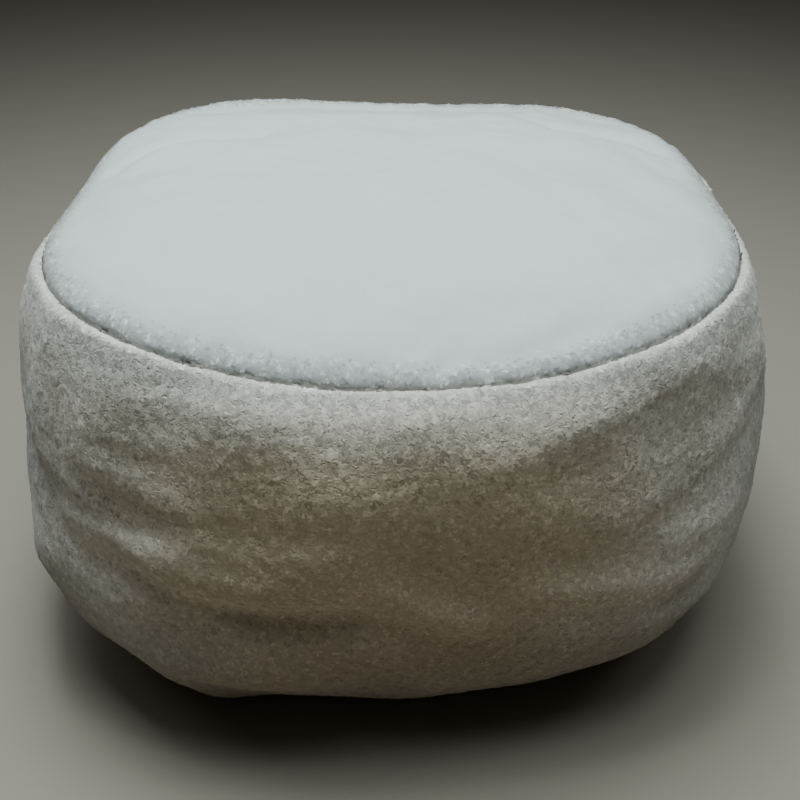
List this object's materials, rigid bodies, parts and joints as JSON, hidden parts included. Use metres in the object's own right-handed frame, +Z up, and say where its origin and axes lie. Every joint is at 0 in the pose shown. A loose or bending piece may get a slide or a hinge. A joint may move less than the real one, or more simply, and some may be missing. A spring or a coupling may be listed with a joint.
{
  "type": "bean bag footstool",
  "caption": "Low rounded-square bean bag footstool in ivory looped cloth, with a crowned top panel, a soft folded side band and a flat base.",
  "frame": {"origin": "centre of the flat underside, on the surface that the footstool rests on", "axes": "+Z up, -Y towards the front, +X to the right as seen from the front"},
  "size_m": [0.5493, 0.5448, 0.3282],
  "materials": {
    "looped_cloth": "ivory looped pile, dull and nubbly"
  },
  "bodies": {
    "root": {"top_panel": "looped_cloth", "side_band": "looped_cloth", "base_panel": "looped_cloth"}
  },
  "joints": []
}
